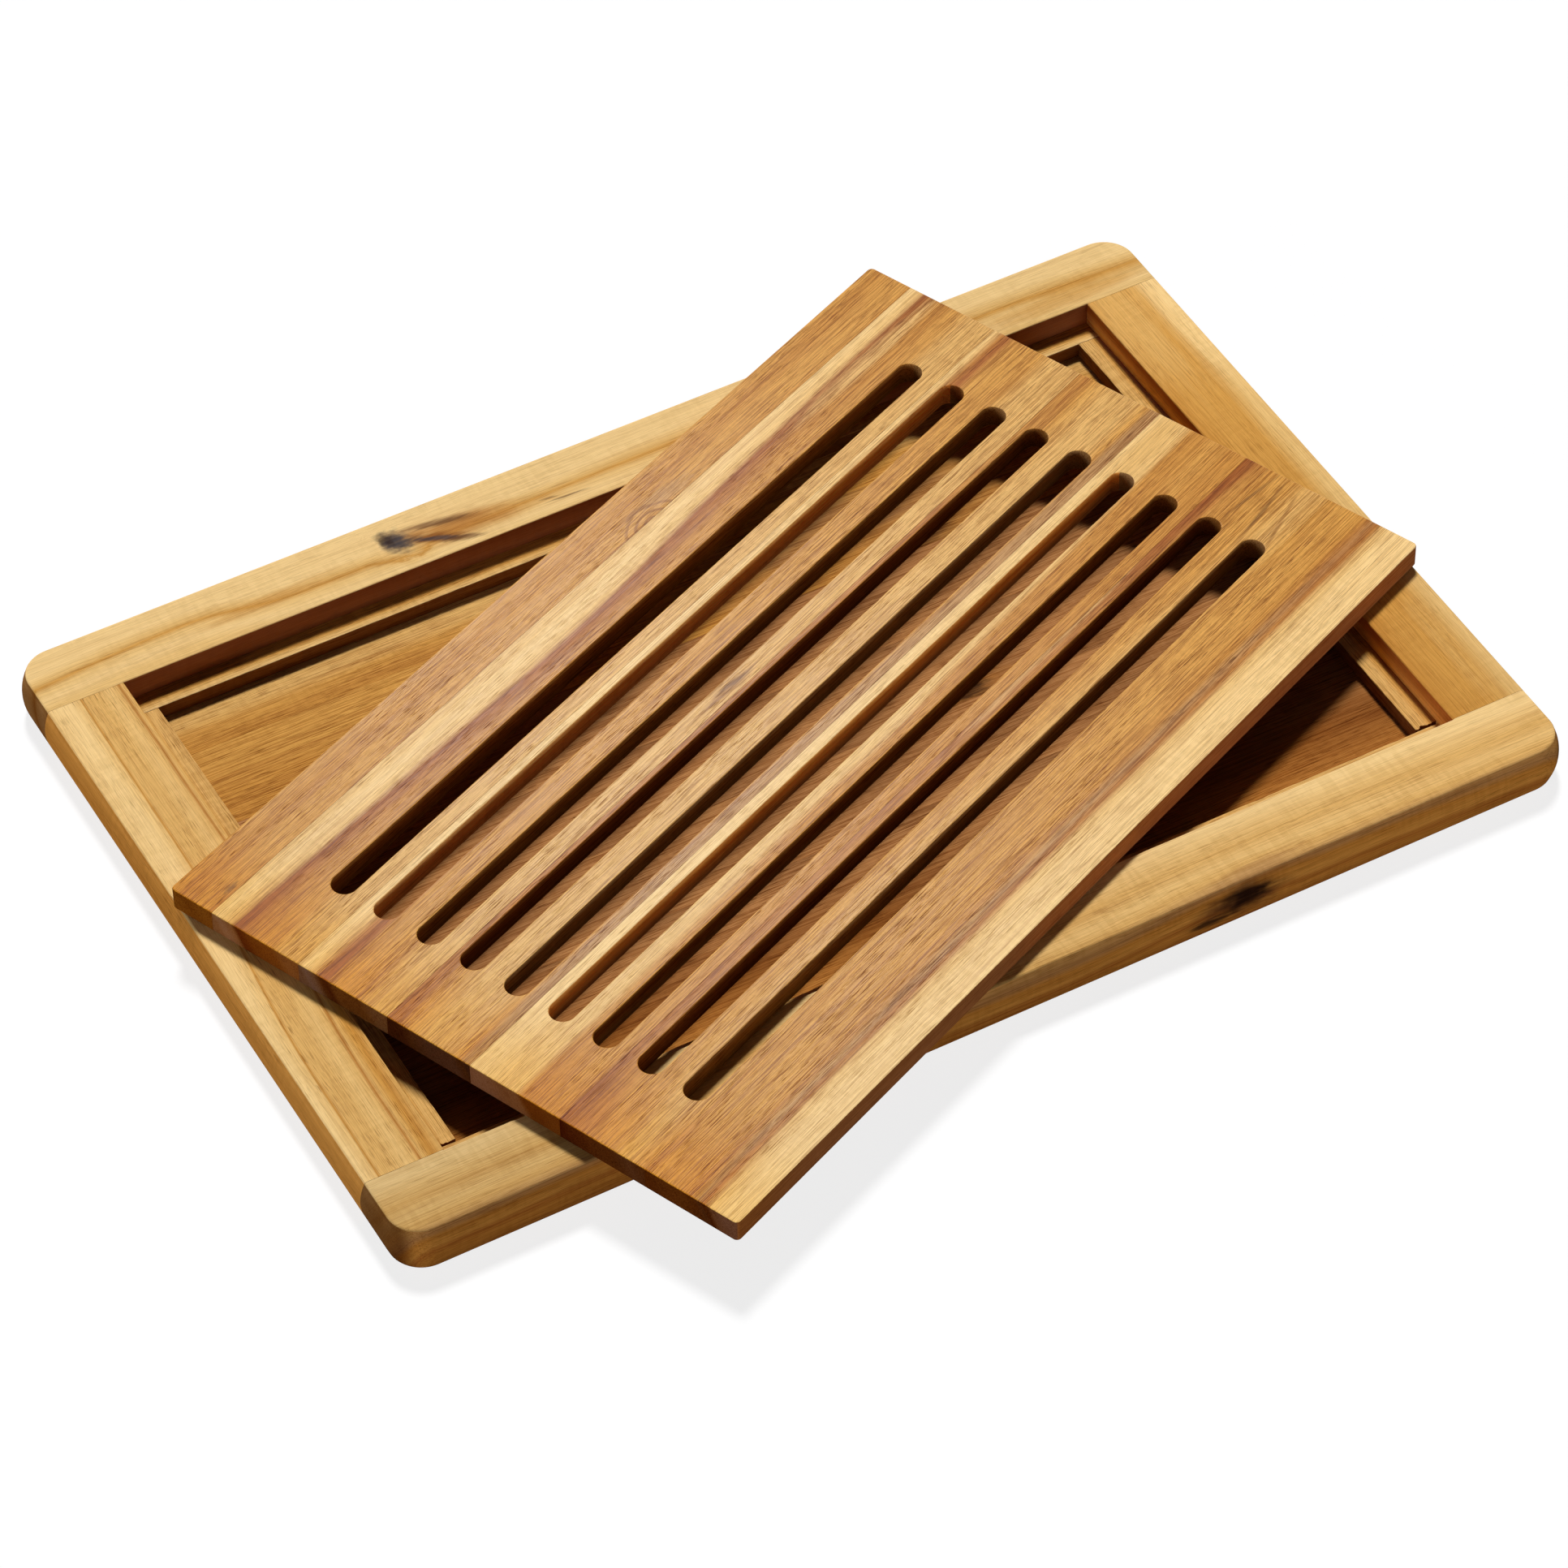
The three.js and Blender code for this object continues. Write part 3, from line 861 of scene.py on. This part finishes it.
right_wood = hardwood(
    "right_rail_wood",
    corner=(TRAY_LENGTH / 2, -half_opening_y, TRAY_HEIGHT),
    along=90,
    across=1,
    length=257,
    seed=4,
    bands=[
        (0, "straw"), (3, "straw"), (7, "straw"), (10, "wheat"), (14, "honey"),
        (18, "honey"), (25, "honey"), (33, "amber"),
    ],
    drift=[(0, -2), (120, -1), (200, 0), (257, 1)],
    marks=[
        Mark(250, 5, 75, 9, 0.0, "cream", 0.8, 0.0),
        Mark(30, 14, 45, 5, 0.0, "wheat", 0.5, 0.0),
        Mark(245, 24, 75, 15, 0.0, "wheat", 0.75, 0.0),
    ],
    grain=0.25,
    fibres=0.35,
    pores=0.45,
    streaks=0.35,
    shade=(0.98, 1.13),
    # Its wall turns paler towards the foot: painted light
    walls=inner_wall(257, head=(1.0, 0.74, 0.8), foot=(1.65, 1.75, 2.2)),
)

long_rail("back_rail", "rail_back", 1, back_wood)
long_rail("front_rail", "rail_front", -1, front_wood)
short_rail("left_rail", "rail_left", -1, left_wood)
short_rail("right_rail", "rail_right", 1, right_wood)


# The ledges: four rough-sawn battens glued into the corner between the frame and the floor.
# The seated grid rests on them. Their free arrises and their sawn front ends are torn.
LEDGE_TOP = 10.2 * MM
LEDGE_WIDTH = 9 * MM
LEDGE_BOTTOM = REBATE_HEIGHT
LEDGE_ARRIS = 0.4 * MM
LEDGE_ARRIS_STEPS = 2
BATTEN_STEP = 2.5 * MM
TORN_END = 1.1 * MM
TORN_END_CUTS = 15
TEAR_DEPTH = 0.22
CHIP_DEPTH = 0.2
TEAR_FALL = 0.4

LONG_LEDGE = OPENING_LENGTH - 2 * GLUE_LINE
SHORT_LEDGE = OPENING_WIDTH - 2 * (LEDGE_WIDTH + GLUE_LINE)
# Tones across the battens from the rail outward, darker at the rail as painted shade from it: deep
# on the back batten, light on the others
DEEP_SHADE_BANDS = [
    (0, "amber"), (3, "amber"), (5, "honey"), (6.5, "wheat"), (8, "straw"), (9, "cream"),
]
LIGHT_SHADE_BANDS = [(0, "amber"), (2.5, "honey"), (4.5, "wheat"), (9, "wheat")]


def sawn_batten(length, splintered):
    """A batten along X, against a rail behind it, with its free arris off. It is cut up finely
    where the saw tore it: along its length, and across where its end is splintered."""
    batten = bmesh.new()
    bmesh.ops.create_cube(batten, size=1)
    depth = LEDGE_WIDTH + GLUE_LINE
    height = LEDGE_TOP - LEDGE_BOTTOM
    bmesh.ops.scale(batten, vec=(length, depth, height), verts=batten.verts)
    middle = (0, GLUE_LINE - depth / 2, LEDGE_BOTTOM + height / 2)
    bmesh.ops.translate(batten, vec=middle, verts=batten.verts)
    bmesh.ops.subdivide_edges(
        batten,
        edges=pick(batten, lambda middle, start, stop: abs(start.x - stop.x) > length / 2),
        cuts=int(length / BATTEN_STEP),
        use_grid_fill=True,
    )
    if splintered:
        bmesh.ops.subdivide_edges(
            batten,
            edges=pick(batten, lambda middle, start, stop: abs(start.y - stop.y) > depth / 2),
            cuts=TORN_END_CUTS,
            use_grid_fill=True,
        )
    ease_arris(
        batten,
        LEDGE_ARRIS,
        LEDGE_ARRIS_STEPS,
        lambda middle, start, stop: middle.z > LEDGE_TOP - HAIR
        and middle.y < -LEDGE_WIDTH + HAIR
        and abs(start.x - stop.x) > HAIR,
    )
    return batten


def tear(batten, length, seed, torn):
    """Tears small bites out of the free arris, and splinters the end on the side torn of X."""
    for point in batten.verts:
        if point.co.y < -LEDGE_WIDTH / 2 and point.co.z > LEDGE_BOTTOM + MM:
            long_tear = noise.noise(Vector((point.co.x * 90, seed * 5.1, 0)))
            chip = noise.noise(Vector((point.co.x * 420, seed * 3.7, 4)))
            bite = max(0.0, TEAR_DEPTH * long_tear + CHIP_DEPTH * chip) * MM
            point.co.y += bite
            point.co.z -= bite * TEAR_FALL
        if point.co.x * torn > length / 2 - HAIR:
            tooth = noise.noise(Vector((point.co.y * 800, seed * 2.9, point.co.z * 60)))
            point.co.x -= torn * TORN_END * (1 + tooth)


def lay_ledge(rail, length, turn, distance, corner, along, across, seed, bands, torn=0):
    """Lays a batten against its rail: made along X, turned, and torn at one end or at none."""
    batten = sawn_batten(length, splintered=torn != 0)
    tear(batten, length, seed, torn)
    bmesh.ops.translate(batten, vec=(0, distance, 0), verts=batten.verts)
    rotation = Matrix.Rotation(math.radians(turn), 3, "Z")
    bmesh.ops.rotate(batten, matrix=rotation, verts=batten.verts)
    batten_wood = hardwood(
        rail + "_ledge_wood",
        corner=(*corner, LEDGE_TOP),
        along=along,
        across=across,
        length=length / MM,
        seed=seed,
        bands=bands,
        wander=0.8,
        streaks=0.3,
        fibres=0.7,
        pores=0.8,
        ripple=0.6,
        # The battens' sides are tinted dark: painted shade, besides their darker sawn grain
        side=(0.36, 0.26, 0.26),
    )
    finish_piece(rail + "_ledge", batten, batten_wood, "tray", "ledge_" + rail)


lay_ledge(
    "back",
    LONG_LEDGE,
    turn=0,
    distance=half_opening_y,
    corner=(-half_opening_x, half_opening_y),
    along=0,
    across=-1,
    seed=11,
    bands=DEEP_SHADE_BANDS,
)
lay_ledge(
    "front",
    LONG_LEDGE,
    turn=180,
    distance=half_opening_y,
    corner=(-half_opening_x, -half_opening_y),
    along=0,
    across=1,
    seed=12,
    bands=LIGHT_SHADE_BANDS,
)
lay_ledge(
    "left",
    SHORT_LEDGE,
    turn=90,
    distance=half_opening_x,
    corner=(-half_opening_x, -half_opening_y),
    along=90,
    across=-1,
    seed=13,
    bands=LIGHT_SHADE_BANDS,
    torn=-1,
)
lay_ledge(
    "right",
    SHORT_LEDGE,
    turn=-90,
    distance=half_opening_x,
    corner=(half_opening_x, -half_opening_y),
    along=90,
    across=1,
    seed=14,
    bands=LIGHT_SHADE_BANDS,
    torn=1,
)


# The floor of the tray: seven thin staves glued edge to edge and let into the rebate from
# below. Their CAD solids are right as they are and only get their wood.
# Tones of the floor staves from the back. Those seen through the grid's slots are darker, and the
# second has a broad dark patch under the grid: partly their own tone, partly painted shade under the
# grid
FLOOR_STAVES = [
    {"bands": [(0, "honey"), (14, "wheat"), (24, "wheat"), (30, "honey"), (39, "amber")]},
    {
        "bands": [(0, "honey"), (12, "honey"), (24, "amber"), (39, "amber")],
        "marks": [
            Mark(285, 14, 130, 28, 0.0, "chestnut", 0.85, 0.0),
            Mark(306, 35, 20, 6, 0.0, "bark", 0.8, 0.5),
        ],
    },
    {"bands": [(0, "toffee"), (16, "chestnut"), (39, "toffee")]},
    {
        "bands": [(0, "chestnut"), (20, "toffee"), (39, "chestnut")],
        "marks": [
            Mark(281, 34, 26, 9, 0.0, "russet", 0.7, 0.0),
            Mark(281, 35, 13, 6.5, 0.0, "soot", 0.95, 0.6),
        ],
    },
    {"bands": [(0, "toffee"), (22, "chestnut"), (39, "toffee")]},
    {"bands": [(0, "chestnut"), (12, "toffee"), (39, "umber")]},
    {"bands": [(0, "umber"), (18, "russet"), (39, "russet")]},
]


def dress(node, material):
    """Gives a CAD solid its material."""
    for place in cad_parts[node].material_slots:
        place.material = material


for count, figure in enumerate(FLOOR_STAVES, start=1):
    name = f"floor_stave_{count}"
    low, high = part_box(name)
    stave_wood = hardwood(
        name + "_wood",
        corner=(low.x, high.y, high.z),
        along=0,
        across=-1,
        length=(high.x - low.x) / MM,
        seed=20 + count,
        grain=0.7,
        fibres=0.7,
        pores=0.8,
        streaks=0.55,
        ripple=0.4,
        **figure,
    )
    dress(name, stave_wood)


# The dowels: eight turned pins of pale wood, two in each butt joint of the frame, glued in and
# hidden there. Their CAD solids only get their wood.
DOWEL_LENGTH = 40

dowel_names = [
    f"dowel_{end}_{side}_{place}"
    for end in ("back", "front")
    for side in ("left", "right")
    for place in ("inner", "outer")
]
dowel_wood = hardwood(
    "dowel_wood",
    corner=tuple(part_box(dowel_names[0])[0]),
    along=90,
    across=1,
    length=DOWEL_LENGTH,
    seed=31,
    bands=[(0, "cream"), (8, "straw")],
    pores=0.3,
)
for name in dowel_names:
    dress(name, dowel_wood)


# The grid: seven staves glued edge to edge, planed, cut to size, then routed with nine long
# through slots. It lies askew across the tray's rim, and its arrises are sanded off.
GRID_LENGTH = 408 * MM
GRID_WIDTH = 254 * MM
GRID_HEIGHT = 9.5 * MM
GRID_FOOT = 20.3 * MM
GRID_TURN = 23.1
GRID_SHIFT = 17.7 * MM
GRID_CORNER = 2 * MM
GRID_CORNER_STEPS = 6
GRID_ARRIS = 0.5 * MM
SLOT_LENGTH = 340 * MM
SLOT_WIDTH = 10 * MM
SLOT_PITCH = 19.8 * MM
SLOT_COUNT = 9
SLOT_ARRIS = 0.4 * MM
SLOT_STEPS = 16
SLOT_REACH = SLOT_LENGTH / 2 - SLOT_WIDTH / 2
LARGE_FACE = 0.01

# Millimetres from the grid's back edge to each glue line between two staves
GLUE_LINES = [19.5, 59.5, 100.0, 137.2, 177.0, 214.2]

to_rest = Matrix.Translation((0, -GRID_SHIFT, GRID_FOOT)) @ Matrix.Rotation(
    math.radians(GRID_TURN), 4, "Z"
)


def slot_ring(shape, place):
    """The outline of a slot, as a ring of loose edges at the foot of the grid."""
    points = bmesh.ops.create_circle(
        shape, segments=2 * SLOT_STEPS, radius=SLOT_WIDTH / 2, cap_ends=False
    )["verts"]
    half_step = Matrix.Rotation(math.pi / (2 * SLOT_STEPS), 3, "Z")
    bmesh.ops.rotate(shape, matrix=half_step, verts=points)
    for side in (-1, 1):
        half = [point for point in points if point.co.x * side > 0]
        bmesh.ops.translate(shape, vec=(side * SLOT_REACH, place, 0), verts=half)
    return [edge for edge in shape.edges if edge.is_wire]


def arris_levels(arris):
    """Heights and insets of the grid's walls, whose upper and lower arrises are rounded."""
    part = arris * (1 - math.sqrt(0.5))
    foot = [(0.0, arris), (part, part), (arris, 0.0)]
    return foot + [(GRID_HEIGHT - height, inset) for height, inset in reversed(foot)]


def route_slot(slab, place):
    """Grows the wall of one slot from its foot to its head, ring by ring."""
    ring = slot_ring(slab, place)
    radius_before = SLOT_WIDTH / 2
    height_before = 0.0
    for count, (height, inset) in enumerate(arris_levels(SLOT_ARRIS)):
        if count:
            ring = grow_ring(slab, ring)
        points = list({point for edge in ring for point in edge.verts})
        radius = SLOT_WIDTH / 2 + inset
        spread = radius / radius_before
        for side in (-1, 1):
            half = [point for point in points if point.co.x * side > 0]
            space = Matrix.Translation((-side * SLOT_REACH, -place, 0))
            bmesh.ops.scale(slab, vec=(spread, spread, 1), space=space, verts=half)
        bmesh.ops.translate(slab, vec=(0, 0, height - height_before), verts=points)
        radius_before, height_before = radius, height


def grid_slab():
    """The whole grid, level and square at the origin: its outside and its slots as walls,
    closed by a face with nine holes above and below."""
    slab = rounded_slab(
        GRID_LENGTH, GRID_WIDTH, GRID_CORNER, arris_levels(GRID_ARRIS), GRID_CORNER_STEPS
    )
    flat = [face for face in slab.faces if face.calc_area() > LARGE_FACE]
    bmesh.ops.delete(slab, geom=flat, context="FACES_ONLY")
    for count in range(SLOT_COUNT):
        route_slot(slab, ((SLOT_COUNT - 1) / 2 - count) * SLOT_PITCH)
    for height in (0.0, GRID_HEIGHT):
        rim = [
            edge
            for edge in slab.edges
            if edge.is_boundary and abs(edge.verts[0].co.z - height) < SAME_POINT
        ]
        bmesh.ops.triangle_fill(slab, edges=rim, use_beauty=True, use_dissolve=False)
    bmesh.ops.recalc_face_normals(slab, faces=slab.faces)
    return slab


# Painted shade and painted light on the slots' walls, darker towards their foot: all of them first,
# then the walls of single slots that are paler
SLOT_WALLS = [
    Wall(30, 378, 38, 216, head=(0.66, 0.6, 0.7), foot=(0.3, 0.33, 0.5)),
    Wall(30, 378, 40, 46.5, head=(0.82, 0.7, 0.8), foot=(0.38, 0.42, 0.6)),
    Wall(30, 378, 60.5, 64.5, head=(1.75, 1.3, 0.95), foot=(0.85, 0.72, 0.8)),
    Wall(30, 378, 140, 143.5, head=(1.6, 1.05, 0.6), foot=(0.42, 0.32, 0.36)),
]

# The seven staves from the back to the front; their end tints are darker end grain and painted shade
# on the grid's shaded end
GRID_STAVES = [
    {
        "bands": [(0, "honey"), (6, "amber"), (12, "honey"), (17, "honey"), (19.5, "amber")],
        "drift": [(0, 0), (200, 1), (408, 0)],
        "marks": [
            Mark(13, 17, 5, 1.6, 0.0, "bark", 0.7, 0.5),
            Mark(262, 15, 22, 5.0, 0.12, "ash", 0.75, 0.0),
        ],
        "swirls": [Swirl(247, 20, 12, 8.5, "umber", 0.65)],
        "end": (0.46, 0.36, 0.4),
    },
    {
        "bands": [
            (19.5, "straw"), (23, "cream"), (28, "straw"), (30.5, "plum"), (34, "russet"),
            (37, "amber"), (46, "honey"), (52, "wheat"), (59.5, "wheat"),
        ],
        "drift": [(0, 0), (170, 4), (300, -1.5), (408, -3.5)],
        "marks": [Mark(366, 31, 70, 4.5, 0.0, "straw", 0.7, 0.0)],
        "end": (0.38, 0.28, 0.4),
    },
    {
        "bands": [
            (59.5, "straw"), (62, "cream"), (66, "straw"), (69, "russet"), (72, "plum"),
            (75, "honey"), (86, "honey"), (92, "wheat"), (100, "wheat"),
        ],
        "drift": [(0, 0), (200, -3), (408, -5)],
        "marks": [
            Mark(196, 96.5, 17, 3.6, 0.0, "umber", 0.6, 0.8),
            Mark(199, 96, 12, 1.4, 0.12, "bark", 0.6, 0.0),
        ],
        "end": (0.22, 0.19, 0.4),
    },
    {
        "bands": [
            (100, "russet"), (103.5, "russet"), (107, "honey"), (116, "wheat"),
            (127, "wheat"), (132, "honey"), (134, "ash"), (137.2, "ash"),
        ],
        "drift": [(0, 0), (200, 0), (408, 0)],
        "marks": [Mark(370, 102, 70, 4.0, 0.0, "honey", 0.7, 0.0)],
        "end": (0.13, 0.1, 0.28),
    },
    {
        "bands": [
            (137.2, "cream"), (141, "cream"), (150, "straw"), (157, "straw"), (160, "amber"),
            (166, "amber"), (172, "honey"), (177, "amber"),
        ],
        "drift": [(0, 0), (200, -2), (408, -8)],
        "marks": [
            Mark(222, 156, 40, 1.8, -0.06, "straw", 0.8, 0.0),
            Mark(390, 144, 50, 8.0, 0.0, "wheat", 0.7, 0.0),
        ],
        "end": (0.28, 0.2, 0.3),
    },
    {
        "bands": [
            (177, "plum"), (181, "russet"), (186, "amber"), (190, "honey"), (197, "honey"),
            (206, "wheat"), (214.2, "honey"),
        ],
        "drift": [(0, 0), (200, -3), (408, 2)],
        "marks": [
            Mark(8, 184, 34, 8.0, 0.0, "russet", 0.75, 0.0),
            Mark(290, 176.5, 70, 3.2, -0.03, "straw", 0.7, 0.0),
            Mark(370, 184, 60, 5.0, 0.0, "honey", 0.6, 0.0),
            Mark(392, 190, 22, 1.0, 0.12, "bark", 0.6, 0.0),
            Mark(388, 198, 24, 1.1, -0.1, "bark", 0.55, 0.0),
            Mark(386, 207, 26, 1.2, -0.22, "umber", 0.6, 0.0),
        ],
        "end": (0.2, 0.13, 0.25),
    },
    {
        "bands": [
            (214.2, "amber"), (219, "honey"), (228, "honey"), (234, "amber"), (237, "ash"),
            (239.5, "russet"), (242, "straw"), (247, "cream"), (254, "cream"),
        ],
        "drift": [(0, 0), (200, -2), (408, -3)],
        "marks": [Mark(385, 233, 60, 4.5, 0.0, "plum", 0.55, 0.0)],
        "end": (0.25, 0.16, 0.25),
    },
]

whole_grid = grid_slab()
grid_corner = to_rest @ Vector((-GRID_LENGTH / 2, GRID_WIDTH / 2, GRID_HEIGHT))
for count, figure in enumerate(GRID_STAVES):
    name = f"grid_stave_{count + 1}"
    stave = whole_grid.copy()
    if count > 0:
        back = GRID_WIDTH / 2 - GLUE_LINES[count - 1] * MM
        saw(stave, (0, back, 0), (0, 1, 0))
    if count < len(GLUE_LINES):
        front = GRID_WIDTH / 2 - GLUE_LINES[count] * MM + GLUE_LINE
        saw(stave, (0, front, 0), (0, -1, 0))
    stave_wood = hardwood(
        name + "_wood",
        corner=tuple(grid_corner),
        along=GRID_TURN,
        across=-1,
        length=408,
        seed=41 + count,
        wander=2.0,
        darker_start=0.85,
        grain=0.75,
        pores=0.9,
        fibres=1.0,
        # Painted light: shade lightens the grid towards its far end. Painted shade: the side, under
        # and slot-wall tints, on top of the darker cut grain
        shade=(1.0, 1.08),
        side=(0.46, 0.24, 0.17),
        under=(0.5, 0.4, 0.34),
        walls=SLOT_WALLS,
        rough=0.33,
        shine=0.1,
        **figure,
    )
    finish_piece(f"slat_{count + 1}", stave, stave_wood, "grid", name, to_rest)
whole_grid.free()
